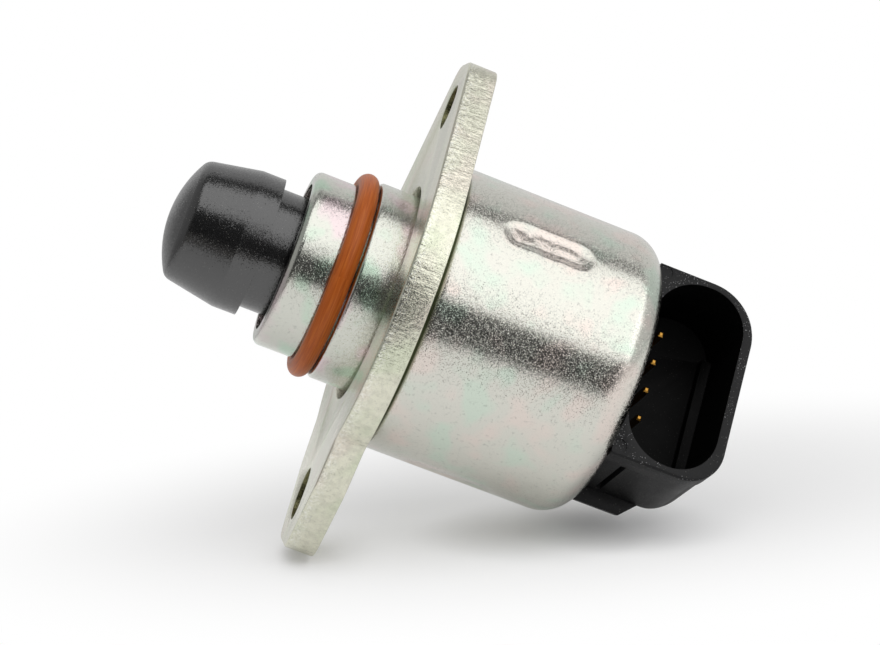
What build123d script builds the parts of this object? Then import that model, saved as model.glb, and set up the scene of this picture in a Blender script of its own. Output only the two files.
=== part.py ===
from build123d import *
import math
import os

# Idle air control valve, in millimetres.
# X is the valve's axis: the pintle points to -X and the connector is at +X.
# X = 0 is the flange's mounting face, and Z is the line through the two bolt holes.

# Flange plate
flange_thick = 3.7
flange_disc_r = 22.0
flange_bore_r = 13.7
hole_pitch = 50.0
pattern_shift = 1.0          # the bolt pattern's middle lies this far below the axis
bolt_hole_d = 5.5
bolt_slot_len = 6.5          # the lower hole is a short slot
upper_ear_beyond = 5.7       # from the upper hole's centre to the ear's end
upper_ear_flat = 2.1         # half of the straight end
upper_ear_round = 4.5
lower_ear_beyond = 6.35
lower_ear_flat = 2.8
lower_ear_round = 3.7
shoulder_half = 11.6         # the lower ear's shoulders, where its sides turn in
shoulder_drop = 21.3
shoulder_round = 5.0
root_half = 15.4
root_drop = 10.0
ear_root_round = 3.0
flange_edge_round = 0.35
same_place = 0.01            # two points this near are taken as one

# Motor can: a drawn cup, its open end rolled over the connector cap
can_r = 18.0
can_wall = 1.0
can_straight = 22.8
can_front_round = 1.5
can_roll_r = 4.5             # outside radius of the rolled rear edge
can_roll_in = 2.75           # how far the rolled edge reaches in over the cap
stake_len = 11.5
stake_tool_r = 3.7
stake_depth = 0.45
stake_mid = 11.6             # from the can's front face
stake_angles = (42.5, -77.5, 162.5)   # degrees from -Y towards +Z

# Nose sleeve: the pilot that enters the throttle body, with its O-ring
nose_r = 12.5
nose_len = 4.4
nose_edge_round = 0.5
lip_r = 11.05
lip_edge_round = 0.9
lip_len = 4.9
groove_len = 2.8
oring_section = 2.5
oring_outer_r = 13.0
nose_bore_r = 9.3
nose_back_bore_r = 11.2
nose_step = 1.4              # wall left behind the groove
sleeve_flange = 1.2

# Front bearing plate, with its bearing pocket and the screw's guide
plate_thick = 1.0
pocket_front_hole_r = 5.0
pocket_wall = 1.0
guide_rim = 0.5
guide_rim_r = 6.0

# Ball bearing
bearing_width = 4.0
bearing_outer_r = 8.0
bearing_section = 4.0        # outer radius less bore radius
race_wall = 1.1
ball_r = 1.2
ball_count = 9
cage_wall = 0.8
cage_width = 3.2
retainer_wall = 0.6
retainer_over = 0.5          # beyond the outer race

# Stator: two phases, each a wound bobbin between two claw-pole cups
cup_sheet = 1.0
claws_per_cup = 6
air_gap = 0.4                # between the magnet and the claws
claw_thick = 0.9
claw_base_width = 3.9
claw_tip_width = 1.7
claw_tip_gap = 0.6
bobbin_gap = 0.4             # between the claws and the bobbin's tube
bobbin_wall = 0.8
bobbin_cheek = 0.7
bobbin_cheek_play = 0.3      # between the cheeks and the cups' walls
winding_below = 0.4          # the wire stops short of the cheeks' edge

# Rotor: a ring magnet on a threaded nut, a little larger than its bearing
magnet_over = 0.2
magnet_wall = 3.6
rotor_end_play = 0.3
collar_over = 0.1            # beyond the inner race
collar_len = 1.1
rear_journal_r = 3.4
rear_journal_len = 3.6
nut_body_over = 0.2          # the nut's body stands out of the magnet by this much

# Lead screw and pintle
screw_r = 2.45
screw_in_tip = 6.0
screw_end_chamfer = 0.4
flat_half = 1.9              # the screw's guide flats, from the axis
flat_spare = 0.6
travel = 10.0                # pintle stroke, from fully out to fully home
tip_len = 14.6               # from the nose's front edge to the pintle's tip
dome_r = 14.0
dome_rim_r = 7.42
dome_rim_round = 1.5
cone_len = 6.5
skirt_r = 8.64
skirt_len = 2.9
neck_r = 7.5
neck_stop = 0.3              # left between the pintle's open end and the guide, fully home
spring_room_r = 5.9
spring_room_len = 8.6
spring_wire = 0.8
spring_mid_r = 5.0
spring_turns = 6

# Connector cap: base, hood and four terminals, moulded in one
cap_skirt = 2.6              # the cap's straight rim, in front of the roll
base_len = 8.35
base_chamfer = 2.0
seal_section = 1.3
seal_groove_from_front = 0.6
seal_groove_len = 1.6
bush_wall = 1.55
bush_len = 3.1
washer_over = 0.8            # beyond the bush
washer_thick = 0.6
screw_pocket_r = 3.1
screw_pocket_spare = 0.4
screw_pocket_wall = 0.9      # left between the pocket and the mouth
hood_clock = 24.0            # the mouth is turned up from -Y by this angle
hood_half = 12.85
hood_mouth = 9.84            # mouth plane, from the axis
hood_back = 3.5              # far side, beyond the axis
hood_end = 13.5              # rear end, behind the can
hood_upper_round = 6.3
hood_lower_round = 4.8
hood_back_round = 4.5
hood_side_wall = 0.85
hood_end_wall = 1.3
rim_depth = 2.9              # the hood's outside is a little fuller along its rim
rim_step = 0.15
hood_rim_round = 0.3
mouth_front_wall = 0.65
ejector_r = 0.95             # shallow marks of the mould's pins on the mouth face
ejector_depth = 0.12
ejector_x = 0.75
ejector_in = 1.1             # from the hood's sides
mouth_front_round = 6.0
mouth_end_round = 5.2
mouth_depth = 11.8
ledge_depth = 10.2
ledge_width = 1.25
ledge_half = 7.5
side_slot_width = 0.7
side_slot_x = 2.75           # behind the can
side_slot_len = 9.3
side_slot_start = 3.15       # below the mouth plane
terminal_size = 0.64
terminal_pitch = 3.8
terminal_x = 3.25            # behind the can
terminal_sunk = 3.9          # tips, below the mouth plane
terminal_foot = 10.5         # the feet, beyond the axis
terminal_bend = 1.0
terminal_count = 4
terminal_tip_chamfer = 0.16

# Fits
run_fit = 0.05               # radial play of a shaft in its bearing or nut
slip_fit = 0.1               # radial play of parts that drop into the can

# The bolt holes and the ears round them
upper_hole_z = hole_pitch / 2 - pattern_shift
lower_hole_z = upper_hole_z - hole_pitch
upper_ear_end = upper_hole_z + upper_ear_beyond
lower_ear_end = lower_ear_beyond - lower_hole_z

# Places along the axis
can_front = flange_thick
can_roll_x = can_front + can_straight
can_lip_r = can_r - can_roll_in
roll_drop = can_roll_r - can_roll_in
lip_inner_r = can_roll_r - can_wall
can_rear = can_roll_x + math.sqrt(can_roll_r ** 2 - roll_drop ** 2)
lip_inner_x = can_roll_x + math.sqrt(lip_inner_r ** 2 - roll_drop ** 2)
plate_front = can_front + can_wall + sleeve_flange
plate_rear = plate_front + plate_thick
bearing_front = plate_rear - bearing_width
pocket_front = bearing_front - plate_thick
guide_front = pocket_front - guide_rim
stator_front = plate_rear
cap_front = can_roll_x - cap_skirt
phase_len = (cap_front - stator_front) / 2
magnet_front = plate_rear + collar_len
nut_body_rear = cap_front - washer_thick - rotor_end_play
magnet_rear = nut_body_rear - nut_body_over
nut_rear = nut_body_rear + rear_journal_len
screw_pocket_rear = can_rear + mouth_front_wall - screw_pocket_wall
screw_rear = screw_pocket_rear - screw_pocket_spare - travel
nose_front = -nose_len - groove_len - lip_len
tip_x = nose_front - tip_len
bore_step_x = -nose_len + nose_step
neck_end_x = guide_front - neck_stop - travel
spring_seat_x = neck_end_x - spring_room_len
screw_front = spring_seat_x - screw_in_tip

# Radii that follow from others
inner_r = can_r - can_wall - slip_fit
cap_r = inner_r
base_r = can_lip_r - slip_fit
bobbin_cheek_r = inner_r - cup_sheet - bobbin_cheek_play
winding_r = bobbin_cheek_r - winding_below
bearing_bore_r = bearing_outer_r - bearing_section
retainer_r = bearing_outer_r + retainer_over
collar_r = bearing_bore_r + race_wall + collar_over
magnet_r = bearing_outer_r + magnet_over
claw_tube_in_r = magnet_r + air_gap
bush_outer_r = rear_journal_r + run_fit + bush_wall
washer_r = bush_outer_r + washer_over


def turned(outline, rounds=()):
    """A solid turned about X. Outline points are (x, r); rounds are (x, r, radius)."""
    face = make_face(Polyline(*outline, close=True))
    for x, r, radius in rounds:
        corner = face.vertices().sort_by_distance((x, r, 0))[0]
        face = fillet(corner, radius)
    return revolve(face, Axis.X)


def ring(x1, x2, r_in, r_out):
    """A plain tube along X."""
    return turned([(x1, r_in), (x2, r_in), (x2, r_out), (x1, r_out)])


def around_x(shape, angle):
    return Rot(X=angle) * shape


def wrapped(circles):
    """A plate's outline, drawn tight round circles given as (y, z, radius)."""
    rims = [Pos(y, z) * Circle(r) for y, z, r in circles]
    return make_hull([edge for rim in rims for edge in rim.edges()])


def make_flange_plate():
    tip = upper_ear_end - upper_ear_round
    outline = wrapped([(0, 0, flange_disc_r), (upper_ear_flat, tip, upper_ear_round),
                       (-upper_ear_flat, tip, upper_ear_round)])
    corners = [(lower_ear_flat, lower_ear_end - lower_ear_round, lower_ear_round),
               (shoulder_half - shoulder_round, shoulder_drop, shoulder_round),
               (root_half - shoulder_round, root_drop, shoulder_round)]
    lower = [(side * y, -z, r) for y, z, r in corners for side in (-1, 1)]
    outline += wrapped(lower)
    roots = [v for v in outline.vertices() if abs(v.distance_to((0, 0, 0)) - flange_disc_r) < same_place]
    outline = fillet(sorted(roots, key=lambda v: v.Y)[:2], ear_root_round)
    outline -= Circle(flange_bore_r)
    outline -= Pos(0, upper_hole_z) * Circle(bolt_hole_d / 2)
    outline -= Pos(0, lower_hole_z) * SlotOverall(bolt_slot_len, bolt_hole_d, rotation=90)
    plate = extrude(Plane.YZ * outline, flange_thick)
    front = plate.faces().sort_by(Axis.X)[0]
    rim = front.outer_wire().edges()
    return fillet(rim, flange_edge_round)


def make_motor_can():
    inside = can_r - can_wall
    hole = nose_r + run_fit
    walls = Polyline((can_roll_x, inside), (can_front + can_wall, inside),
                     (can_front + can_wall, hole), (can_front, hole), (can_front, can_r),
                     (can_roll_x, can_r))
    roll = RadiusArc((can_roll_x, can_r), (can_rear, can_lip_r), can_roll_r)
    edge = Line((can_rear, can_lip_r), (lip_inner_x, can_lip_r))
    inner_roll = RadiusArc((lip_inner_x, can_lip_r), (can_roll_x, inside), -lip_inner_r)
    profile = make_face(walls + roll + edge + inner_roll)
    for x, r, radius in ((can_front, can_r, can_front_round),
                         (can_front + can_wall, inside, can_front_round - can_wall)):
        profile = fillet(profile.vertices().sort_by_distance((x, r, 0))[0], radius)
    can = revolve(profile, Axis.X)
    # Stake marks: long dents pressed in from outside, a third of a turn apart
    dent_width = 2 * math.sqrt(2 * stake_tool_r * stake_depth)
    straight = stake_len - dent_width
    tool = Pos(can_front + stake_mid, 0, 0) * Rot(Y=90) * Cylinder(stake_tool_r, straight)
    for end in (-1, 1):
        tool += Pos(can_front + stake_mid + end * straight / 2, 0, 0) * Sphere(stake_tool_r)
    reach = can_r - stake_depth + stake_tool_r
    for angle in stake_angles:
        can -= around_x(Pos(0, -reach, 0) * tool, -angle)
    return can


def make_nose_sleeve():
    lip_back = nose_front + lip_len
    shoulder = -nose_len
    groove_r = oring_outer_r - oring_section
    return turned(
        [(nose_front, nose_bore_r), (nose_front, lip_r), (lip_back, lip_r), (lip_back, groove_r),
         (shoulder, groove_r), (shoulder, nose_r), (can_front + can_wall, nose_r),
         (can_front + can_wall, inner_r), (plate_front, inner_r), (plate_front, nose_back_bore_r),
         (bore_step_x, nose_back_bore_r), (bore_step_x, nose_bore_r)],
        [(nose_front, lip_r, lip_edge_round), (shoulder, nose_r, nose_edge_round),
         (can_front + can_wall, inner_r, can_front_round - can_wall)])


def make_nose_oring():
    middle = -nose_len - groove_len / 2
    return Pos(middle, 0, 0) * Rot(Y=90) * Torus(oring_outer_r - oring_section / 2, oring_section / 2)


def make_bearing_plate():
    pocket_out = bearing_outer_r + pocket_wall
    return turned(
        [(pocket_front, pocket_front_hole_r), (pocket_front, pocket_out), (plate_front, pocket_out),
         (plate_front, inner_r), (plate_rear, inner_r), (plate_rear, bearing_outer_r),
         (bearing_front, bearing_outer_r), (bearing_front, pocket_front_hole_r)],
        [(pocket_front, pocket_out, pocket_wall)])


def flat_sided(length, half, radius):
    """A round bar along X from 0 to length, with two flats half away from the axis."""
    bar = Pos(length / 2, 0, 0) * Rot(Y=90) * Cylinder(radius, length)
    return bar & (Pos(length / 2, 0, 0) * Box(length, 4 * radius, 2 * half))


def make_screw_guide():
    bush = ring(pocket_front, bearing_front, screw_r / 2, pocket_front_hole_r)
    bush += ring(guide_front, pocket_front, screw_r / 2, guide_rim_r)
    depth = bearing_front - guide_front
    return bush - Pos(guide_front, 0, 0) * flat_sided(depth, flat_half + run_fit, screw_r + run_fit)


def ball_track():
    """The ring that the balls roll in, with its play."""
    track_r = (bearing_bore_r + bearing_outer_r) / 2
    middle = bearing_front + bearing_width / 2
    return Pos(middle, 0, 0) * Rot(Y=90) * Torus(track_r, ball_r + run_fit)


def balls(radius):
    track_r = (bearing_bore_r + bearing_outer_r) / 2
    middle = bearing_front + bearing_width / 2
    step = 360 / ball_count
    return [around_x(Pos(middle, 0, track_r) * Sphere(radius), step * i) for i in range(ball_count)]


def make_bearing_outer_race():
    rear = bearing_front + bearing_width
    return ring(bearing_front, rear, bearing_outer_r - race_wall, bearing_outer_r) - ball_track()


def make_bearing_inner_race():
    rear = bearing_front + bearing_width
    return ring(bearing_front, rear, bearing_bore_r, bearing_bore_r + race_wall) - ball_track()


def make_bearing_balls():
    return Compound(children=[Solid(ball.solid().wrapped) for ball in balls(ball_r)])


def make_bearing_cage():
    track_r = (bearing_bore_r + bearing_outer_r) / 2
    middle = bearing_front + bearing_width / 2
    cage = ring(middle - cage_width / 2, middle + cage_width / 2,
                track_r - cage_wall / 2, track_r + cage_wall / 2)
    for pocket in balls(ball_r + run_fit):
        cage -= pocket
    return cage


def make_bearing_retainer():
    return ring(plate_rear, plate_rear + retainer_wall, bearing_outer_r - race_wall, retainer_r)


def claw_cup(disc_front, side, turn):
    """A cup with its claws: side is +1 when the claws point to +X, turn its first claw's angle."""
    disc = ring(disc_front, disc_front + cup_sheet, claw_tube_in_r, inner_r)
    face = disc_front + cup_sheet if side > 0 else disc_front
    wall_end = face + side * (phase_len / 2 - cup_sheet)
    wall = ring(min(face, wall_end), max(face, wall_end), inner_r - cup_sheet, inner_r)
    claw_end = face + side * (phase_len - 2 * cup_sheet - claw_tip_gap)
    tube = ring(min(face, claw_end), max(face, claw_end), claw_tube_in_r, claw_tube_in_r + claw_thick)
    outline = Polyline((face, -claw_base_width / 2), (face, claw_base_width / 2),
                       (claw_end, claw_tip_width / 2), (claw_end, -claw_tip_width / 2), close=True)
    wedge = extrude(Pos(0, 0, claw_tube_in_r / 2) * make_face(outline), claw_tube_in_r)
    claw = tube & wedge
    cup = disc + wall
    for i in range(claws_per_cup):
        cup += around_x(claw, turn + i * 360 / claws_per_cup)
    return cup


def make_stator_cups():
    """Four cups: in each phase the claws interleave, and the second phase is a half pole on."""
    pole = 180 / claws_per_cup
    cups = {}
    for phase, name in enumerate(("front", "rear")):
        start = stator_front + phase * phase_len
        turn = phase * pole / 2
        cups[f"stator_cup_{name}_a"] = claw_cup(start, 1, turn)
        cups[f"stator_cup_{name}_b"] = claw_cup(start + phase_len - cup_sheet, -1, turn + pole)
    return cups


def make_bobbin(phase):
    start = stator_front + phase * phase_len + cup_sheet
    end = start + phase_len - 2 * cup_sheet
    tube_in = claw_tube_in_r + claw_thick + bobbin_gap
    tube_out = tube_in + bobbin_wall
    return turned([(start, tube_in), (end, tube_in), (end, bobbin_cheek_r),
                   (end - bobbin_cheek, bobbin_cheek_r), (end - bobbin_cheek, tube_out),
                   (start + bobbin_cheek, tube_out), (start + bobbin_cheek, bobbin_cheek_r),
                   (start, bobbin_cheek_r)])


def make_winding(phase):
    start = stator_front + phase * phase_len + cup_sheet + bobbin_cheek
    length = phase_len - 2 * cup_sheet - 2 * bobbin_cheek
    tube_out = claw_tube_in_r + claw_thick + bobbin_gap + bobbin_wall
    return ring(start, start + length, tube_out, winding_r)


def make_rotor_magnet():
    return ring(magnet_front, magnet_rear, magnet_r - magnet_wall, magnet_r)


def make_rotor_nut():
    bore = screw_r + run_fit
    body = magnet_r - magnet_wall
    return turned([(bearing_front, bore), (bearing_front, bearing_bore_r), (plate_rear, bearing_bore_r),
                   (plate_rear, collar_r), (magnet_front, collar_r), (magnet_front, body),
                   (nut_body_rear, body), (nut_body_rear, rear_journal_r), (nut_rear, rear_journal_r),
                   (nut_rear, bore)])


def make_lead_screw():
    length = screw_rear - screw_front
    screw = turned([(screw_front, 0), (screw_front, screw_r), (screw_rear - screw_end_chamfer, screw_r),
                    (screw_rear, screw_r - screw_end_chamfer), (screw_rear, 0)])
    # The guide slides along the flats for the whole stroke
    flat_front = guide_front - travel - flat_spare
    flat_rear = bearing_front + flat_spare
    flat_mid = (flat_front + flat_rear) / 2
    for side in (-1, 1):
        cutter = Box(flat_rear - flat_front, length, screw_r)
        screw -= Pos(flat_mid, 0, side * (flat_half + screw_r / 2)) * cutter
    return screw


def make_pintle():
    dome_x = tip_x + dome_r - math.sqrt(dome_r ** 2 - dome_rim_r ** 2)
    cone_x = dome_x + cone_len
    skirt_x = cone_x + skirt_len
    dome = RadiusArc((tip_x, 0), (dome_x, dome_rim_r), dome_r)
    rest = Polyline((dome_x, dome_rim_r), (cone_x, skirt_r), (skirt_x, skirt_r), (skirt_x, neck_r),
                    (neck_end_x, neck_r), (neck_end_x, spring_room_r), (spring_seat_x, spring_room_r),
                    (spring_seat_x, screw_r), (screw_front, screw_r), (screw_front, 0), (tip_x, 0))
    profile = make_face(dome + rest)
    rim = profile.vertices().sort_by_distance((dome_x, dome_rim_r, 0))[0]
    return revolve(fillet(rim, dome_rim_round), Axis.X)


def make_pintle_spring():
    """An open coil spring, seated in the pintle and on the guide's rim."""
    length = guide_front - spring_seat_x - spring_wire
    start = spring_seat_x + spring_wire / 2
    path = Helix(length / spring_turns, length, spring_mid_r, center=(start, 0, 0), direction=(1, 0, 0))
    section = Plane(origin=path @ 0, z_dir=path % 0) * Circle(spring_wire / 2)
    return sweep(section, path)


def in_hood(shape):
    """Turns a shape built with the mouth facing -Y to the connector's own angle."""
    return around_x(shape, -hood_clock)


def terminal(size, t):
    """One bent pin, its tip in the mouth and its foot at the stator, at height t of the row."""
    x = can_rear + terminal_x
    tip_y = -(hood_mouth - terminal_sunk)
    path = FilletPolyline((x, tip_y, t), (x, terminal_foot, t), (cap_front, terminal_foot, t),
                          radius=terminal_bend)
    section = Plane(origin=(x, tip_y, t), z_dir=(0, 1, 0)) * Rectangle(size, size)
    pin = sweep(section, path)
    tip = pin.faces().sort_by(Axis.Y)[0]
    return chamfer(tip.edges(), terminal_tip_chamfer)


def terminal_rows():
    first = -(terminal_count - 1) / 2
    return [(first + i) * terminal_pitch for i in range(terminal_count)]


def make_terminals():
    return {f"terminal_{i + 1}": in_hood(terminal(terminal_size, t))
            for i, t in enumerate(terminal_rows())}


def make_hood_outside():
    """The hood's block, rounded at its rear end and at its far side, a little fuller at its rim."""
    front, end = can_rear, can_rear + hood_end
    side = make_face(Polyline((front, -hood_mouth), (end, -hood_mouth), (end, hood_back),
                              (front, hood_back), close=True))
    corner = side.vertices().sort_by_distance((end, hood_back, 0))[0]
    side = fillet(corner, hood_back_round)
    block = extrude(Pos(0, 0, -hood_half) * side, 2 * hood_half)
    plan = make_face(Polyline((front, -hood_half), (end, -hood_half), (end, hood_half),
                              (front, hood_half), close=True))
    ends = plan.vertices().group_by(Axis.X)[-1].sort_by(Axis.Y)
    plan = fillet(ends[0], hood_lower_round)
    upper = plan.vertices().sort_by_distance((end, hood_half, 0))[0]
    plan = fillet(upper, hood_upper_round)
    wall = offset(plan, -rim_step)
    height = hood_mouth + hood_back
    rim = extrude(Plane.XZ.offset(hood_mouth - rim_depth) * plan, rim_depth)
    wall += make_face(Polyline((front, rim_step - hood_half), (front + hood_upper_round, rim_step - hood_half),
                               (front + hood_upper_round, hood_half - rim_step),
                               (front, hood_half - rim_step), close=True))
    lower = extrude(Plane.XZ.offset(-hood_back) * wall, height - rim_depth)
    hood = block & (rim + lower)
    mouth_face = hood.faces().sort_by(Axis.Y)[0]
    free = [e for e in mouth_face.edges() if e.center().X > can_rear + same_place]
    return fillet(free, hood_rim_round)


def make_mouth():
    """The space inside the hood, with the ledge at its foot left standing."""
    x1, x2 = can_rear + mouth_front_wall, can_rear + hood_end - hood_end_wall
    half = hood_half - hood_side_wall
    plan = make_face(Polyline((x1, -half), (x2, -half), (x2, half), (x1, half), close=True))
    plan = fillet(plan.vertices().sort_by(Axis.X)[:2], mouth_front_round)
    plan = fillet(plan.vertices().group_by(Axis.X)[-1], mouth_end_round)
    floor_y = -hood_mouth + mouth_depth
    space = extrude(Plane.XZ.offset(-floor_y) * plan, mouth_depth + hood_side_wall)
    ledge_top = -hood_mouth + ledge_depth
    ledge = Box(ledge_width, floor_y - ledge_top, 2 * ledge_half, align=(Align.MAX, Align.MIN, Align.CENTER))
    return space - Pos(x2, ledge_top, 0) * ledge


def make_connector_cap():
    groove_x = cap_front + seal_groove_from_front
    groove_r = can_r - can_wall - seal_section
    base_rear = can_rear + base_len
    body = turned([(cap_front, 0), (cap_front, cap_r), (groove_x, cap_r), (groove_x, groove_r),
                   (groove_x + seal_groove_len, groove_r), (groove_x + seal_groove_len, cap_r),
                   (can_roll_x, cap_r), (lip_inner_x - slip_fit, base_r),
                   (base_rear - base_chamfer, base_r), (base_rear, base_r - base_chamfer),
                   (base_rear, 0)])
    # Behind the can the round base is left only on the hood's far side
    beside = Pos(can_rear, hood_back, 0) * Box(2 * base_len, 2 * base_r, 4 * base_r,
                                               align=(Align.MIN, Align.MAX, Align.CENTER))
    body -= in_hood(beside)
    body -= ring(cap_front, cap_front + bush_len, 0, bush_outer_r)
    body -= ring(cap_front, screw_pocket_rear, 0, screw_pocket_r)
    slot_mid_y = -hood_mouth + side_slot_start + side_slot_len / 2
    slot = Pos(can_rear + side_slot_x, slot_mid_y, -hood_half) * Box(
        side_slot_width, side_slot_len, 3 * hood_side_wall)
    body += in_hood(make_hood_outside() - slot)
    body -= in_hood(make_mouth())
    for side in (-1, 1):
        mark = Pos(can_rear + ejector_x, -hood_mouth, side * (hood_half - ejector_in)) * Rot(X=90)
        body -= in_hood(mark * Cylinder(ejector_r, 2 * ejector_depth))
    for t in terminal_rows():
        body -= in_hood(terminal(terminal_size, t))
    return body


def make_cap_seal():
    middle = cap_front + seal_groove_from_front + seal_groove_len / 2
    return Pos(middle, 0, 0) * Rot(Y=90) * Torus(can_r - can_wall - seal_section / 2, seal_section / 2)


def make_rear_bush():
    return ring(cap_front, cap_front + bush_len, rear_journal_r + run_fit, bush_outer_r)


def make_thrust_washer():
    return ring(cap_front - washer_thick, cap_front, rear_journal_r + slip_fit, washer_r)


pieces = {
    "flange_plate": make_flange_plate(),
    "motor_can": make_motor_can(),
    "nose_sleeve": make_nose_sleeve(),
    "nose_oring": make_nose_oring(),
    "bearing_plate": make_bearing_plate(),
    "screw_guide": make_screw_guide(),
    "bearing_outer_race": make_bearing_outer_race(),
    "bearing_inner_race": make_bearing_inner_race(),
    "bearing_balls": make_bearing_balls(),
    "bearing_cage": make_bearing_cage(),
    "bearing_retainer": make_bearing_retainer(),
    "bobbin_front": make_bobbin(0),
    "bobbin_rear": make_bobbin(1),
    "winding_front": make_winding(0),
    "winding_rear": make_winding(1),
    "rotor_magnet": make_rotor_magnet(),
    "rotor_nut": make_rotor_nut(),
    "rear_bush": make_rear_bush(),
    "thrust_washer": make_thrust_washer(),
    "lead_screw": make_lead_screw(),
    "pintle": make_pintle(),
    "pintle_spring": make_pintle_spring(),
    "cap_seal": make_cap_seal(),
    "connector_cap": make_connector_cap(),
}
pieces.update(make_stator_cups())
pieces.update(make_terminals())

os.makedirs("parts", exist_ok=True)
for name, piece in pieces.items():
    export_step(piece, f"parts/{name}.step")
    print(name, "volume", round(piece.volume, 1), "mm3")
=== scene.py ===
# %% [markdown]
# # Dressing an idle air control valve
#
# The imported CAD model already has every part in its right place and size: flange, can, nose,
# pintle, connector and the small stepper motor inside. This lesson gives each part the surface
# that the real one has, makes in mesh the few things that CAD left plain, and sets up a small
# studio with the camera where the photographer's was. All lengths are metres, as in the CAD frame.

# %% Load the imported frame
import math

import bmesh
import bpy
from mathutils import Matrix, Vector


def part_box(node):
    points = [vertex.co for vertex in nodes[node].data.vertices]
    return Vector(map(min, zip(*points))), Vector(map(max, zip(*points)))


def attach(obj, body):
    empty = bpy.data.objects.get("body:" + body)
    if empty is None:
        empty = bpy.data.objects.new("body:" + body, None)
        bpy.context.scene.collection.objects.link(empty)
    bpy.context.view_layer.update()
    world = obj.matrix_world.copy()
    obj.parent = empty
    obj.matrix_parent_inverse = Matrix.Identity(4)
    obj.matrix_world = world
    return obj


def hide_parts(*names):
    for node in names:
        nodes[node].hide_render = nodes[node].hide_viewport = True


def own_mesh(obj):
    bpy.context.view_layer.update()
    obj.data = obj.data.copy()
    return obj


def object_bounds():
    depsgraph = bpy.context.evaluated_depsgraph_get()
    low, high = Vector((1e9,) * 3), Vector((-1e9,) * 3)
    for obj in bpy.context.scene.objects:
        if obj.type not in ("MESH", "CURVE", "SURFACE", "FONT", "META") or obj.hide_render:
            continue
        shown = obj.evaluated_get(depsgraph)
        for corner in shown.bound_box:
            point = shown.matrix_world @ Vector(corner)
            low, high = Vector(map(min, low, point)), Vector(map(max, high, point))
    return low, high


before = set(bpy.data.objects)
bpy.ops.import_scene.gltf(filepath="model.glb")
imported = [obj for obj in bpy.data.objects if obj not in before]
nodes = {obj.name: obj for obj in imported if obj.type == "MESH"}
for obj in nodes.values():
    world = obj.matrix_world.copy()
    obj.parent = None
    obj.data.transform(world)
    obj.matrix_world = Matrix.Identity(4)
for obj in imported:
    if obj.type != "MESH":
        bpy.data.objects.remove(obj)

MM = 0.001
cad_low, cad_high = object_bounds()
print("parts:", len(nodes), "box in mm:", [round(v / MM, 2) for v in cad_high - cad_low])

# %% [markdown]
# ## Helpers
#
# Every material is a small tree of nodes. One function turns a colour written in hex, as a paint
# chart gives it, into the linear light that shaders work with. Another adds a node, sets it and
# plugs it in, so that a material reads from top to bottom like a recipe. Inputs go by name, or by
# number where a node has several of one name. A Mix of colours has its factor at 0 and its two
# colours at 6 and 7, and gives the result at 2. A Map Range has its value at 0, the range that
# comes in at 1 and 2, and the range that goes out at 3 and 4.

# %% Colours and nodes
MATH, VECTOR_MATH, MIX = "ShaderNodeMath", "ShaderNodeVectorMath", "ShaderNodeMix"
MAP_RANGE, RAMP = "ShaderNodeMapRange", "ShaderNodeValToRGB"
SPLIT, JOIN = "ShaderNodeSeparateXYZ", "ShaderNodeCombineXYZ"
BLEND = {"data_type": "RGBA"}                                   # one colour over another
TINT = {"data_type": "RGBA", "blend_type": "MULTIPLY", 0: 1.0}  # one colour times another


def srgb(hex_code):
    """A hex colour as linear red, green and blue, and opaque."""
    parts = [int(hex_code[i:i + 2], 16) / 255 for i in (1, 3, 5)]
    linear = [v / 12.92 if v <= 0.04045 else ((v + 0.055) / 1.055) ** 2.4 for v in parts]
    return (*linear, 1.0)


def feed(tree, node, values):
    """Sets a node's properties and inputs, by name or number.

    A socket is linked to the input, and so is a node, from its first output."""
    properties = [key for key in values if isinstance(key, str) and hasattr(node, key)]
    for key in properties:
        setattr(node, key, values[key])
    for key, value in values.items():
        if key in properties:
            continue
        if isinstance(value, bpy.types.Node):
            value = value.outputs[0]
        if isinstance(value, bpy.types.NodeSocket):
            tree.links.new(value, node.inputs[key])
        else:
            node.inputs[key].default_value = value


def add(tree, kind, values=None, stops=()):
    """A new node with its values.

    A colour ramp also has stops: pairs of a place and a grey level or a hex colour."""
    made = tree.nodes.new(kind)
    feed(tree, made, values or {})
    if stops:
        band = made.color_ramp
        while len(band.elements) < len(stops):
            band.elements.new(0.5)
        for element, (place, value) in zip(band.elements, stops):
            element.position = place
            element.color = srgb(value) if isinstance(value, str) else (value, value, value, 1.0)
    return made


def from_line(tree, across, up):
    """How far a point is from a line, from its two coordinates square to that line."""
    squares = [add(tree, MATH, {"operation": "POWER", 0: v, 1: 2.0}) for v in (across, up)]
    total = add(tree, MATH, {"operation": "ADD", 0: squares[0], 1: squares[1]})
    return add(tree, MATH, {"operation": "SQRT", 0: total})


def per_metre(size_mm):
    """The scale that makes a pattern's features this many millimetres wide."""
    return 1.0 / (size_mm * MM)


def mottle(tree, size_mm, vector, detail=2.0, roughness=0.5, stretch=(1, 1, 1), offset=0.0):
    """A noisy pattern with features of a real size; stretch divides the size along X, Y and Z."""
    placed = add(tree, "ShaderNodeMapping", {
        "Scale": stretch, "Location": (offset, offset, offset), "Vector": vector})
    return add(tree, "ShaderNodeTexNoise", {
        "Scale": per_metre(size_mm), "Detail": detail, "Roughness": roughness, "Vector": placed})


def new_material(name):
    """A material with an empty Principled shader; returns it, its tree, shader and coordinates."""
    made = bpy.data.materials.new(name)
    made.use_nodes = True
    tree = made.node_tree
    place = add(tree, "ShaderNodeTexCoord").outputs["Object"]
    return made, tree, tree.nodes["Principled BSDF"], place


print("sample colour:", [round(v, 3) for v in srgb("#B5622F")])

# %% [markdown]
# ## The camera
#
# The photograph was measured: straight edges and circles of known size on the valve give the place
# it was taken from. The camera stands about 270 mm away, level with the valve's axis, turned
# 8 degrees past square to it and rolled 21 degrees, because the valve lies tipped on its flange.

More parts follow.
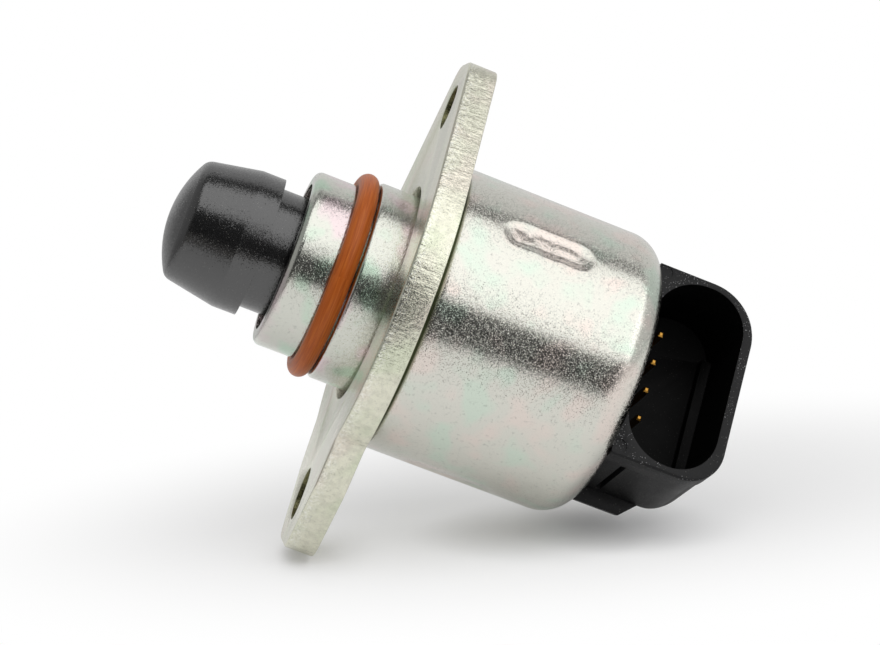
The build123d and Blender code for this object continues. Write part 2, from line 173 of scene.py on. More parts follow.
# %% Camera
YAW, PITCH, ROLL = math.radians(8.29), math.radians(0.25), math.radians(21.0)
CAMERA_DISTANCE = 265.87 * MM
AIM_ACROSS, AIM_UP = -8.35 * MM, -0.70 * MM
FOCAL_PIXELS, PHOTO_WIDTH = 2200.76, 880
SENSOR_MM = 36.0

level_right = Vector((
    math.cos(YAW), -math.sin(YAW) * math.cos(PITCH), -math.sin(YAW) * math.sin(PITCH)))
forward = Vector((math.sin(YAW), math.cos(YAW) * math.cos(PITCH), math.cos(YAW) * math.sin(PITCH)))
level_up = Vector((0, -math.sin(PITCH), math.cos(PITCH)))
camera_place = -AIM_ACROSS * level_right + AIM_UP * level_up - CAMERA_DISTANCE * forward
camera_right = math.cos(ROLL) * level_right + math.sin(ROLL) * level_up
camera_up = -math.sin(ROLL) * level_right + math.cos(ROLL) * level_up

lens = bpy.data.cameras.new("camera")
lens.sensor_width = SENSOR_MM
lens.lens = FOCAL_PIXELS / PHOTO_WIDTH * SENSOR_MM
lens.clip_start = 0.01
camera = bpy.data.objects.new("camera", lens)
camera.matrix_world = Matrix((
    (camera_right.x, camera_up.x, -forward.x, camera_place.x),
    (camera_right.y, camera_up.y, -forward.y, camera_place.y),
    (camera_right.z, camera_up.z, -forward.z, camera_place.z),
    (0, 0, 0, 1)))
bpy.context.scene.collection.objects.link(camera)
bpy.context.scene.camera = camera
print("camera at", [round(v / MM, 1) for v in camera_place], "mm, lens", round(lens.lens, 1), "mm")

# %% [markdown]
# ## The floor
#
# The valve lies on a white table, on the tip of its flange and the edge of its connector. These
# two give the table's slope in the CAD frame, and the part's lowest point gives its level. The
# near floor takes the shadow; further out it fades into plain white, so that no horizon shows.
# Seen from underneath it lets the camera through.

# %% Floor
FLOOR_UP = Vector((-0.427, -0.11, 0.898)).normalized()
FLOOR_RADIUS, FLOOR_SIDES = 0.13, 64

floor_level = min(v.co.dot(FLOOR_UP) for node in nodes.values() for v in node.data.vertices)
middle = (cad_low + cad_high) / 2
floor_centre = middle - FLOOR_UP * (middle.dot(FLOOR_UP) - floor_level)
across = FLOOR_UP.cross(Vector((0, 1, 0))).normalized()
along = FLOOR_UP.cross(across)
rim = [floor_centre + FLOOR_RADIUS * (math.cos(t) * across + math.sin(t) * along)
       for t in (i * math.tau / FLOOR_SIDES for i in range(FLOOR_SIDES))]
floor_mesh = bpy.data.meshes.new("floor")
floor_mesh.from_pydata([tuple(p) for p in rim], [], [tuple(range(FLOOR_SIDES))])
if floor_mesh.polygons[0].normal.dot(FLOOR_UP) < 0:
    floor_mesh.flip_normals()
floor = bpy.data.objects.new("floor", floor_mesh)
bpy.context.scene.collection.objects.link(floor)
print("floor leans", round(math.degrees(FLOOR_UP.angle(Vector((0, 0, 1)))), 1), "degrees")

# %% The table's white
# the shadow is an oval round a point behind the connector, wider along X than along Y
SHADE_X, SHADE_Y, SHADE_LONG, SHADE_WIDE = 38 * MM, 18 * MM, 75 * MM, 55 * MM
SHADE_CORE, SHADE_END = 0.2, 1.1        # where its fading starts and ends, in shares of the oval
WHITE_IN_CORE = 0.38
# close under the valve nothing lifts the shadow
TOUCH_REACH, TOUCHING, FREE = 10 * MM, 0.25, 0.85
WHITE_AT_TOUCH = 0.25
# the metal and the pintle mirror a floor that is a little darker, most so to the left
MIRROR_LEFT, MIRROR_RIGHT = -70 * MM, -5 * MM
MIRRORED_LEFT, MIRRORED_RIGHT = 0.30, 0.86

paper, tree, shader, place = new_material("white_table_paper")
feed(tree, shader, {"Base Color": srgb("#F4F4F4"), "Roughness": 0.9, "Specular IOR Level": 0.2})
oval = add(tree, VECTOR_MATH, {
    "operation": "MULTIPLY_ADD", 0: place, 1: (1 / SHADE_LONG, 1 / SHADE_WIDE, 0),
    2: (-SHADE_X / SHADE_LONG, -SHADE_Y / SHADE_WIDE, 0)})
from_centre = add(tree, VECTOR_MATH, {"operation": "LENGTH", 0: oval}).outputs["Value"]
fade = add(tree, MAP_RANGE, {
    "interpolation_type": "SMOOTHSTEP", 0: from_centre,
    1: SHADE_CORE, 2: SHADE_END, 3: WHITE_IN_CORE, 4: 1.0})
open_sky = add(tree, "ShaderNodeAmbientOcclusion", {"samples": 8, "Distance": TOUCH_REACH})
not_touching = add(tree, MAP_RANGE, {
    0: open_sky.outputs["AO"], 1: TOUCHING, 2: FREE, 3: WHITE_AT_TOUCH, 4: 1.0})
floor_x = add(tree, SPLIT, {0: place}).outputs["X"]
mirror_share = add(tree, MAP_RANGE, {
    0: floor_x, 1: MIRROR_LEFT, 2: MIRROR_RIGHT, 3: MIRRORED_LEFT, 4: MIRRORED_RIGHT})
path = add(tree, "ShaderNodeLightPath").outputs
in_mirror = add(tree, MATH, {"operation": "MULTIPLY", 0: path["Is Glossy Ray"], 1: mirror_share})
eye_or_mirror = add(tree, MATH, {"operation": "MAXIMUM", 0: path["Is Camera Ray"], 1: in_mirror})
lifted = add(tree, MATH, {"operation": "MULTIPLY", 0: fade, 1: not_touching})
fade_seen = add(tree, MATH, {"operation": "MULTIPLY", 0: lifted, 1: eye_or_mirror})
white = add(tree, "ShaderNodeEmission", {"Color": (1, 1, 1, 1), "Strength": 1.0})
lit = add(tree, "ShaderNodeMixShader", {0: fade_seen, 1: shader, 2: white})
from_below = add(tree, "ShaderNodeNewGeometry").outputs["Backfacing"]
under = add(tree, MATH, {"operation": "MULTIPLY", 0: from_below, 1: path["Is Camera Ray"]})
clear = add(tree, "ShaderNodeBsdfTransparent")
seen = add(tree, "ShaderNodeMixShader", {0: under, 1: lit, 2: clear})
feed(tree, tree.nodes["Material Output"], {"Surface": seen})
floor_mesh.materials.append(paper)
print("paper:", paper.name)

# %% [markdown]
# ## The studio
#
# Bright metal shows its surroundings, so the bands on the can say how the photograph was lit: a
# large softbox above the camera, the white table below, a white backdrop behind, and the dark room
# round the camera. The softbox is a pair of area lights; the room and the backdrop are in the
# world, painted by the angle round the valve's axis.

# %% Lamps
def softbox(name, elevation, distance, aside, above, roll, size, power):
    """A soft rectangular lamp that faces the valve and stays out of the camera's sight.

    It hangs at an elevation above the camera's side, then goes aside along X and above along the
    lamp's own upward edge, and is rolled about the line to the valve."""
    towards = Vector((0, -math.cos(elevation), math.sin(elevation)))
    upwards = Vector((0, math.sin(elevation), math.cos(elevation)))
    sideways = Vector((1, 0, 0))
    wide = math.cos(roll) * sideways + math.sin(roll) * upwards
    high = -math.sin(roll) * sideways + math.cos(roll) * upwards
    place = Vector((VALVE_MIDDLE, 0, 0)) + distance * towards + aside * sideways + above * upwards
    lamp = bpy.data.lights.new(name, "AREA")
    lamp.shape = "RECTANGLE"
    lamp.size, lamp.size_y = size
    lamp.energy = power
    stand = bpy.data.objects.new(name, lamp)
    stand.matrix_world = Matrix((
        (wide.x, high.x, towards.x, place.x),
        (wide.y, high.y, towards.y, place.y),
        (wide.z, high.z, towards.z, place.z),
        (0, 0, 0, 1)))
    stand.visible_camera = False
    bpy.context.scene.collection.objects.link(stand)
    return stand


VALVE_MIDDLE = 8 * MM
LAMP_ELEVATION, LAMP_DISTANCE, LAMP_ROLL = math.radians(49), 0.34, math.radians(13)
RADIANCE = 1.10             # a lamp's power over four times its area, close to a plain white card
# the camera hid the softbox's lower left corner, so it is two lamps, one beside the other
for name, aside, above, size in (
        ("key_softbox", 0.1776, 0.0414, (0.45, 0.50)),
        ("key_softbox_left", -0.1513, 0.0406, (0.19, 0.353))):
    softbox(name, LAMP_ELEVATION, LAMP_DISTANCE, aside, above, LAMP_ROLL, size,
            RADIANCE * 4 * size[0] * size[1])

# %% World
world = bpy.data.worlds.new("studio")
world.use_nodes = True
bpy.context.scene.world = world
tree = world.node_tree
tree.nodes.clear()
direction = add(tree, "ShaderNodeTexCoord").outputs["Generated"]
parts = add(tree, SPLIT, {0: direction}).outputs
to_camera = add(tree, MATH, {"operation": "MULTIPLY", 0: parts["Y"], 1: -1.0})
turn = add(tree, MATH, {"operation": "ARCTAN2", 0: parts["Z"], 1: to_camera})
share = add(tree, MATH, {"operation": "MULTIPLY_ADD", 0: turn, 1: 1 / math.tau, 2: 0.5})


def at(degrees):
    """Where an angle from the camera, positive upwards, lies on the world's ramp."""
    return degrees / 360 + 0.5


room = add(tree, RAMP, {0: share}, [
    (at(-180), 0.62), (at(-150), 0.76),                     # backdrop, from behind to below
    (at(-90), "#FCF9F4"), (at(-25), "#FAF7F1"),             # table
    (at(-21), 0.055), (at(100), 0.06),                      # the dark room round the camera
    (at(107), 0.74), (at(150), 0.80), (at(180), 0.68)])     # backdrop, from above to behind
# to the left the table's front edge lies in shade, which the pintle shows
shade_low = add(tree, RAMP, {0: share}, [(at(-120), 0.20), (at(-24), 0.88), (at(5), 0.0)])
shade_left = add(tree, MAP_RANGE, {
    "interpolation_type": "SMOOTHSTEP", 0: parts["X"], 1: -0.04, 2: -0.36})
in_shade = add(tree, MATH, {"operation": "MULTIPLY", 0: shade_low, 1: shade_left})
left_out = add(tree, MATH, {"operation": "MULTIPLY_ADD", 0: in_shade, 1: -1.0, 2: 1.0})
shaded_room = add(tree, MIX, {**TINT, 6: room, 7: left_out})
# past the ends of the valve the room goes over into its side walls
sideways = add(tree, MATH, {"operation": "ABSOLUTE", 0: parts["X"]})
walls = add(tree, MAP_RANGE, {"interpolation_type": "SMOOTHSTEP", 0: sideways, 1: 0.45, 2: 0.75})
wall_tone = add(tree, MAP_RANGE, {0: parts["X"], 1: -0.6, 2: 0.6, 3: 0.38, 4: 0.60})
surroundings = add(tree, MIX, {**BLEND, 0: walls, 6: shaded_room.outputs[2], 7: wall_tone})
studio_light = add(tree, "ShaderNodeBackground", {
    "Color": surroundings.outputs[2], "Strength": 1.0})
backdrop = add(tree, "ShaderNodeBackground", {"Color": (1, 1, 1, 1), "Strength": 1.0})
by_camera = add(tree, "ShaderNodeLightPath").outputs["Is Camera Ray"]
seen = add(tree, "ShaderNodeMixShader", {0: by_camera, 1: studio_light, 2: backdrop})
add(tree, "ShaderNodeOutputWorld", {0: seen})

bpy.context.scene.view_settings.view_transform = "Standard"
print("world:", world.name)

# %% [markdown]
# ## Zinc-plated steel
#
# Flange, can and nose are bright zinc-plated steel with a thin passivation film. The film gives
# faint green and pink patches a few millimetres wide. The plating itself is a carpet of grains,
# too fine to see one by one but coarse enough to break up every reflection, so where a bright and
# a dark area meet the metal looks like grey sand. Both are patterns on Object coordinates, sized
# in millimetres: one tints the colour, and the other tips the surface's normal, grain by grain.

# %% Zinc material
GRAIN_MM = 0.06             # real grains are about a tenth of this; drawn as coarse as shows


def leaning_grains(tree, place, grain_mm, lean):
    """The surface's normal with each grain tipped its own way, most a little and a few a lot."""
    cells = add(tree, "ShaderNodeTexVoronoi", {"Scale": per_metre(grain_mm), "Vector": place})
    drawn = add(tree, VECTOR_MATH, {"operation": "MULTIPLY_ADD", 0: cells.outputs["Color"],
                                    1: (2, 2, 2), 2: (-1, -1, -1)})
    square = add(tree, VECTOR_MATH, {"operation": "MULTIPLY", 0: drawn, 1: drawn})
    for _ in range(3):      # the seventh power: most grains lie flat, a few lean far
        drawn = add(tree, VECTOR_MATH, {"operation": "MULTIPLY", 0: square, 1: drawn})
    tip = add(tree, VECTOR_MATH, {"operation": "SCALE", 0: drawn, "Scale": lean})
    normal = add(tree, "ShaderNodeNewGeometry").outputs["Normal"]
    leaning = add(tree, VECTOR_MATH, {"operation": "ADD", 0: normal, 1: tip})
    return add(tree, VECTOR_MATH, {"operation": "NORMALIZE", 0: leaning})


def zinc(name, plain, green, pink, roughness, lean):
    """Zinc plate: returns the material, its tree, shader, place, colour, roughness and bump."""
    made, tree, shader, place = new_material(name)
    film = mottle(tree, 5.0, place, detail=1.5)
    tinted = add(tree, RAMP, {0: film}, [(0.34, green), (0.46, plain), (0.54, plain), (0.66, pink)])
    scuffs = mottle(tree, 0.5, place, detail=3.0, roughness=0.7, offset=7.0)
    worn = add(tree, RAMP, {0: scuffs}, [(0.30, 0.80), (0.42, 1.0)])
    colour = add(tree, MIX, {**TINT, 6: tinted, 7: worn}).outputs[2]
    blotch = mottle(tree, 1.3, place, detail=4.0, roughness=0.6)
    rough = add(tree, MAP_RANGE, {0: blotch, 3: roughness * 0.85, 4: roughness * 1.2})
    waves = mottle(tree, 1.6, place, detail=2.0, offset=3.0)
    bump = add(tree, "ShaderNodeBump", {
        "Strength": 0.5, "Distance": 0.03 * MM, "Height": waves,
        "Normal": leaning_grains(tree, place, GRAIN_MM, lean)})
    feed(tree, shader, {"Metallic": 1.0, "Base Color": colour, "Roughness": rough, "Normal": bump})
    return made, tree, shader, place, colour, rough, bump


print("a grain is", GRAIN_MM, "mm wide")

# %% The can's steel
SEAM_SHADE_MM = (4.55, 4.85)      # the can's front edge turns in behind the flange; the dark band there is painted shade and a painted reflection of the flange

zinc_can, tree, shader, place, colour, rough, _ = zinc(
    "zinc_plated_drawn_steel", "#D4D3CA", "#CCD7CA", "#DCD2CA", 0.17, 0.33)
pressed_in = add(tree, "ShaderNodeAttribute", {"attribute_name": "stake"}).outputs["Fac"]
whiter = add(tree, MIX, {**BLEND, 0: pressed_in, 6: colour, 7: srgb("#E6E6E2")}).outputs[2]
along = add(tree, SPLIT, {0: place}).outputs["X"]
# a dark green band just behind the flange: painted shade and a painted reflection of the flange's
# back
seam_shade = add(tree, MAP_RANGE, {0: along, 1: SEAM_SHADE_MM[0] * MM, 2: SEAM_SHADE_MM[1] * MM, 3: 1.0, 4: 0.0})
seam_shaded_colour = add(tree, MIX, {**BLEND, 0: seam_shade, 6: whiter, 7: srgb("#3F4531")}).outputs[2]
crushed = add(tree, MIX, {"data_type": "FLOAT", 0: pressed_in, 2: rough, 3: 0.5})
feed(tree, shader, {"Base Color": seam_shaded_colour, "Roughness": crushed})
zinc_nose, *_ = zinc("zinc_plated_turned_steel", "#D0D1C8", "#C1D4C2", "#DACBCC", 0.19, 0.26)
print("zinc for can and nose:", zinc_can.name, zinc_nose.name)

# %% The flange's plate has edges torn by the punch
TEAR_MM, TEAR_LONG = 0.40, 0.14     # a tear's width, and how much longer it runs through the plate
ENTRY_MM = (0.5, 1.6)               # the punch's side of the edge, back from the front face
HOLES_MM = ((24.0, 2.85), (-26.0, 3.6))     # a bolt hole's place on Z, and a radius past its wall

zinc_plate, tree, shader, place, colour, _, bump = zinc(
    "zinc_plated_punched_steel", "#DEDDCB", "#D6DAC3", "#E0DACB", 0.22, 0.28)
facing = add(tree, SPLIT, {0: add(tree, "ShaderNodeNewGeometry").outputs["Normal"]})
facing_x = add(tree, MATH, {"operation": "ABSOLUTE", 0: facing.outputs["X"]})
on_edge = add(tree, RAMP, {0: facing_x}, [(0.35, 1.0), (0.65, 0.0)])
tears = mottle(tree, TEAR_MM, place, detail=3.0, roughness=0.6, stretch=(TEAR_LONG, 1, 1))
chips = mottle(tree, 0.7, place, detail=4.0, roughness=0.7, offset=2.0)
torn = add(tree, MATH, {"operation": "MULTIPLY_ADD", 0: tears, 1: 0.65, 2: chips})
torn_strength = add(tree, MATH, {"operation": "MULTIPLY", 0: on_edge, 1: 0.9})
torn_bump = add(tree, "ShaderNodeBump", {
    "Distance": 0.11 * MM, "Strength": torn_strength, "Height": torn, "Normal": bump})
# the edge is smudged all over, and flaky where the punch came in, beside the front face
spot = add(tree, SPLIT, {0: place}).outputs
smear = mottle(tree, 0.9, place, detail=4.0, roughness=0.65, offset=11.0)
smudged = add(tree, RAMP, {0: smear}, [(0.36, 0.86), (0.60, 1.0)])
smudges = add(tree, MIX, {**TINT, 0: on_edge, 6: colour, 7: smudged}).outputs[2]
flaking = mottle(tree, 0.32, place, detail=4.0, roughness=0.7, offset=4.0)
flaky = add(tree, RAMP, {0: flaking}, [(0.46, 0.0), (0.62, 0.55)])
entry_side = add(tree, MAP_RANGE, {
    0: spot["X"], 1: ENTRY_MM[0] * MM, 2: ENTRY_MM[1] * MM, 3: 1.0, 4: 0.10})
flaky_edge = add(tree, MATH, {"operation": "MULTIPLY", 0: flaky, 1: on_edge})
flakes = add(tree, MATH, {"operation": "MULTIPLY", 0: flaky_edge, 1: entry_side})
edge_colour = add(tree, MIX, {**BLEND, 0: flakes, 6: smudges, 7: srgb("#F4F4EE")}).outputs[2]
# inside the bolt holes the walls are painted a darker olive: painted shade and a painted dark
# reflection of the recess
near = []
for hole_z, hole_r in HOLES_MM:
    up = add(tree, MATH, {"operation": "SUBTRACT", 0: spot["Z"], 1: hole_z * MM})
    off = from_line(tree, up, spot["Y"])
    near.append(add(tree, MATH, {"operation": "LESS_THAN", 0: off, 1: hole_r * MM}))
hole = add(tree, MATH, {"operation": "MAXIMUM", 0: near[0], 1: near[1]})
hole_shade_mask = add(tree, MATH, {"operation": "MULTIPLY", 0: hole, 1: on_edge})
hole_shaded_colour = add(tree, MIX, {**BLEND, 0: hole_shade_mask, 6: edge_colour, 7: srgb("#6E6D4E")}).outputs[2]
feed(tree, shader, {"Base Color": hole_shaded_colour, "Normal": torn_bump})
print("zinc for the flange:", zinc_plate.name)

# %% [markdown]
# ## Plastics, rubber and the metals inside
#
# The pintle and the connector are black moulded plastic: a smooth satin skin, a trace of grain from
# the mould, and dust that shows as pale specks. The O-ring is rust-red silicone with fine streaks
# round it. Inside are ground bearing steel, brass, enamelled copper, a sintered magnet and nylon.

# %% Other materials
DUST_MM, DUST_COLOUR = 0.42, srgb("#B9B6AE")


def moulded(name, hex_code, roughness, grain_mm, grain_strength,
            dust=0.0, specular=0.5, ior=1.5, glitter=0.0):
    """Moulded plastic or rubber with a fine grain and, if asked, dust and glittering grains."""
    made, tree, shader, place = new_material(name)
    tone = mottle(tree, 2.5, place, detail=3.0)
    uneven = add(tree, RAMP, {0: tone}, [(0.3, 0.85), (0.7, 1.0)])
    colour = add(tree, MIX, {**TINT, 6: srgb(hex_code), 7: uneven}).outputs[2]
    if dust:
        specks = add(tree, "ShaderNodeTexVoronoi", {"Scale": per_metre(DUST_MM), "Vector": place})
        mask = add(tree, RAMP, {0: specks.outputs["Distance"]},
                   [(0.0, dust), (0.09, dust), (0.13, 0.0)])
        colour = add(tree, MIX, {**BLEND, 0: mask, 6: colour, 7: DUST_COLOUR}).outputs[2]
    grain = mottle(tree, grain_mm, place, detail=2.0)
    rough = add(tree, MAP_RANGE, {0: tone, 3: roughness * 0.85, 4: roughness * 1.2})
    bump = add(tree, "ShaderNodeBump", {
        "Strength": grain_strength, "Distance": 0.02 * MM, "Height": grain})
    if glitter:
        feed(tree, bump, {"Normal": leaning_grains(tree, place, grain_mm * 0.6, glitter)})
    feed(tree, shader, {"Specular IOR Level": specular, "IOR": ior, "Base Color": colour,
                        "Roughness": rough, "Normal": bump})
    return made


def metal(name, hex_code, roughness, grain_mm, grain_strength, stretch=(1, 1, 1)):
    """Bare metal with a fine tool grain; stretch draws the grain out along an axis."""
    made, tree, shader, place = new_material(name)
    tone = mottle(tree, 1.5, place, detail=3.0)
    uneven = add(tree, RAMP, {0: tone}, [(0.3, 0.86), (0.7, 1.0)])
    colour = add(tree, MIX, {**TINT, 6: srgb(hex_code), 7: uneven}).outputs[2]
    grain = mottle(tree, grain_mm, place, detail=2.0, stretch=stretch)
    rough = add(tree, MAP_RANGE, {0: tone, 3: roughness * 0.8, 4: roughness * 1.25})
    bump = add(tree, "ShaderNodeBump", {
        "Strength": grain_strength, "Distance": 0.01 * MM, "Height": grain})
    feed(tree, shader, {"Metallic": 1.0, "Base Color": colour, "Roughness": rough, "Normal": bump})
    return made


pintle_black = moulded("black_polyester_moulded", "#0E0E0F", 0.20, 0.16, 0.5,
                       dust=0.30, specular=0.96, ior=1.62, glitter=0.16)
cap_black = moulded("black_glass_filled_nylon", "#181819", 0.44, 0.20, 0.45,
                    dust=0.25, specular=0.22, glitter=0.16)
# a darker, duller copy of the cap's black for inside the mouth: painted shade of its deep recess
mouth_shade_black = moulded("black_nylon_painted_mouth_shade", "#070707", 0.45, 0.20, 0.25,
                      dust=0.08, specular=0.09)
nitrile = moulded("black_nitrile_rubber", "#1A1A1A", 0.55, 0.2, 0.2)
bobbin_black = moulded("black_nylon_bobbin", "#2A2A2B", 0.45, 0.25, 0.2)
guide_nylon = moulded("natural_nylon", "#D9D2BC", 0.42, 0.25, 0.15)
nut_acetal = moulded("natural_acetal", "#E2DDCB", 0.35, 0.25, 0.10)
magnet_grey = moulded("sintered_ferrite_magnet", "#3A3A3D", 0.55, 0.12, 0.5)
inner_steel = metal("pressed_sheet_steel", "#B9BABB", 0.34, 0.30, 0.35)
bearing_steel = metal("ground_bearing_steel", "#D5D6D8", 0.14, 0.10, 0.15, stretch=(6, 1, 1))
screw_steel = metal("rolled_screw_steel", "#C4C5C7", 0.22, 0.20, 0.2)
cage_brass = metal("pressed_brass", "#D8B25E", 0.26, 0.20, 0.2)
gold = metal("gold_plated_contact", "#C08F42", 0.30, 0.15, 0.1)
copper = metal("enamelled_copper_wire", "#B8622F", 0.28, 0.25, 0.1)
print("materials so far:", len(bpy.data.materials))

# %% The O-ring's streaks run round it
STREAK_TURN = 0.6 * MM      # the pattern's way in a radian; the ring's is 13 mm: long streaks
silicone, tree, shader, place = new_material("rust_red_silicone")
parts = add(tree, SPLIT, {0: place}).outputs
round_angle = add(tree, MATH, {"operation": "ARCTAN2", 0: parts["Z"], 1: parts["Y"]})
round_way = add(tree, MATH, {"operation": "MULTIPLY", 0: round_angle, 1: STREAK_TURN})
unrolled = add(tree, JOIN, {
    0: parts["X"], 1: from_line(tree, parts["Y"], parts["Z"]), 2: round_way})
streaks = mottle(tree, 0.20, unrolled.outputs[0], detail=3.0, roughness=0.6)
shade = add(tree, RAMP, {0: streaks}, [(0.30, "#B65715"), (0.50, "#CB6520"), (0.70, "#DA792D")])
rough = add(tree, MAP_RANGE, {0: streaks, 3: 0.30, 4: 0.50})
bump = add(tree, "ShaderNodeBump", {"Strength": 0.4, "Distance": 0.03 * MM, "Height": streaks})
feed(tree, shader, {"Specular IOR Level": 0.30, "Base Color": shade, "Roughness": rough,
                    "Normal": bump})
print("O-ring:", silicone.name)

# %% The cap's rim is rubbed
MOUTH_X = (31.296, 42.846)              # the mouth along the axis, millimetres
MOUTH_HALF, MOUTH_PLANE = 12.0, 9.84    # half its width, and how far its plane lies from the axis
RIM_DEPTH = 0.35                        # the rim is what lies this near to the mouth's plane
CLOCK = math.radians(24)                # the mouth is turned up this far from level
MOUTH_OUT = Vector((0, -math.cos(CLOCK), math.sin(CLOCK)))
MOUTH_SIDE = Vector((0, math.sin(CLOCK), math.cos(CLOCK)))
RUBBED_CORNER = tuple(v * MM for v in (34.9, -3.96, 15.3))     # rubbed most, beside the can
RUBBED_ALL, RUBBED_END = 0.8 * MM, 2.6 * MM

tree = cap_black.node_tree
shader = tree.nodes["Principled BSDF"]
place = add(tree, "ShaderNodeTexCoord").outputs["Object"]
outwards = add(tree, VECTOR_MATH, {"operation": "DOT_PRODUCT", 0: place, 1: tuple(MOUTH_OUT)})
on_rim = add(tree, MATH, {"operation": "GREATER_THAN", 0: outwards.outputs["Value"],
                          1: (MOUTH_PLANE - RIM_DEPTH) * MM})
flecks = add(tree, "ShaderNodeTexVoronoi", {"Scale": per_metre(0.26), "Vector": place})
fleck = add(tree, RAMP, {0: flecks.outputs["Distance"]}, [(0.12, 1.0), (0.22, 0.0)])
clumps = add(tree, RAMP, {0: mottle(tree, 2.2, place, offset=5.0)}, [(0.45, 0.0), (0.62, 1.0)])
off_corner = add(tree, VECTOR_MATH, {"operation": "DISTANCE", 0: place, 1: RUBBED_CORNER})
corner = add(tree, MAP_RANGE, {
    0: off_corner.outputs["Value"], 1: RUBBED_ALL, 2: RUBBED_END, 3: 1.0, 4: 0.0})
where = add(tree, MATH, {"operation": "MAXIMUM", 0: clumps, 1: corner})
rim_fleck = add(tree, MATH, {"operation": "MULTIPLY", 0: on_rim, 1: fleck})
rubbed = add(tree, MATH, {"operation": "MULTIPLY", 0: rim_fleck, 1: where})
plain_black = shader.inputs["Base Color"].links[0].from_socket
worn_rim = add(tree, MIX, {**BLEND, 0: rubbed, 6: plain_black, 7: srgb("#B4B4B6")}).outputs[2]
feed(tree, shader, {"Base Color": worn_rim})
print("rim of the mouth, in mm along the axis:", MOUTH_X)

# %% [markdown]
# ## Hand out the materials
#
# A CAD part keeps its mesh and only gets a better material in its slots. The list has a part's
# name or just its start, and the first line that fits counts.

# %% Assign
finish_of = {
    "flange_plate": zinc_plate, "motor_can": zinc_can, "nose_sleeve": zinc_nose,
    "nose_oring": silicone, "cap_seal": nitrile, "connector_cap": cap_black,
    "pintle_spring": screw_steel, "pintle": pintle_black, "lead_screw": screw_steel,
    "screw_guide": guide_nylon, "rotor_nut": nut_acetal, "rotor_magnet": magnet_grey,
    "bearing_plate": inner_steel, "bearing_retainer": inner_steel, "bearing_cage": cage_brass,
    "bearing": bearing_steel, "rear_bush": guide_nylon, "thrust_washer": cage_brass,
    "stator_cup": inner_steel, "bobbin": bobbin_black, "winding": copper, "terminal": gold,
}
for name, node in nodes.items():
    finish = next(made for start, made in finish_of.items() if name.startswith(start))
    for slot in node.material_slots:
        slot.material = finish
print("dressed", len(nodes), "CAD parts")

# %% [markdown]
# ## Geometry Nodes, and how a tree becomes a plain mesh
#
# Geometry Nodes suit what repeats or follows a rule. Each tree below has named inputs for its
# sizes. A host object runs it once, and the result is kept as a plain mesh that rides on its body
# like any other piece.

# %% Trees and meshes
def new_tree(name, inputs):
    """An empty geometry tree and its inputs, which are given as {label: (socket type, value)}."""
    tree = bpy.data.node_groups.new(name, "GeometryNodeTree")
    tree.interface.new_socket(name="Geometry", in_out="OUTPUT", socket_type="NodeSocketGeometry")
    for label, (kind, value) in inputs.items():
        socket = tree.interface.new_socket(
            name=label, in_out="INPUT", socket_type="NodeSocket" + kind)
        if kind in ("Float", "Int"):
            socket.default_value = value
    return tree, tree.nodes.new("NodeGroupInput").outputs


def end_tree(tree, geometry, given):
    """Closes a tree: instances made real, and the material set."""
    real = add(tree, "GeometryNodeRealizeInstances", {0: geometry})
    painted = add(tree, "GeometryNodeSetMaterial", {0: real, "Material": given["Material"]})
    add(tree, "NodeGroupOutput", {0: painted})


def new_object(name, mesh):
    made = bpy.data.objects.new(name, mesh)
    bpy.context.scene.collection.objects.link(made)
    return made


def plain_mesh(holder, name):
    """What an object's modifiers make of it, as a mesh of its own."""
    bpy.context.view_layer.update()
    graph = bpy.context.evaluated_depsgraph_get()
    mesh = bpy.data.meshes.new_from_object(holder.evaluated_get(graph), depsgraph=graph)
    mesh.name = name
    return mesh


def smooth(mesh, sharp_degrees):
    """Smooth shading, but for corners sharper than this."""
    mesh.shade_smooth()
    mesh.set_sharp_from_angle(angle=math.radians(sharp_degrees))


def grow(name, tree, values):
    """Runs a tree with these input values and returns the result as an object with a plain mesh."""
    host = new_object(name + "_host", bpy.data.meshes.new(name + "_host"))
    modifier = host.modifiers.new(name, "NODES")
    modifier.node_group = tree
    for item in tree.interface.items_tree:
        if item.in_out == "INPUT" and item.name in values:
            modifier[item.identifier] = values[item.name]
    mesh = plain_mesh(host, name)
    bpy.data.objects.remove(host)
    return new_object(name, mesh)


def close_up(mesh):
    """Turns every face outwards, shades smooth with real corners sharp, and returns the volume."""
    shape = bmesh.new()
    shape.from_mesh(mesh)
    bmesh.ops.recalc_face_normals(shape, faces=shape.faces)
    if shape.calc_volume(signed=True) < 0:
        bmesh.ops.reverse_faces(shape, faces=shape.faces)
    volume = shape.calc_volume()
    shape.to_mesh(mesh)
    shape.free()
    smooth(mesh, sharp_degrees=32)
    return volume


def stand_in(piece, node, body, finish=None):
    """A finished piece takes a CAD node's place, on its body and in its material slot."""
    if finish is not None:
        piece.data.materials.clear()
        piece.data.materials.append(finish)
    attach(piece, body)
    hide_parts(node)
    print(piece.name, "has", len(piece.data.polygons), "faces")


print("helpers ready")

# %% [markdown]
# ## The can
#
# The real can is drawn from sheet steel and pressed in at three places to hold the stator. A dent
# like that has soft shoulders and a lumpy floor, which a clean CAD cut hasn't. The can follows a
# rule, an outline turned round the axis, so a tree makes it: a flat grid takes its columns from
# the outline's points and its rows from the angle, then three stake marks are pressed into it.

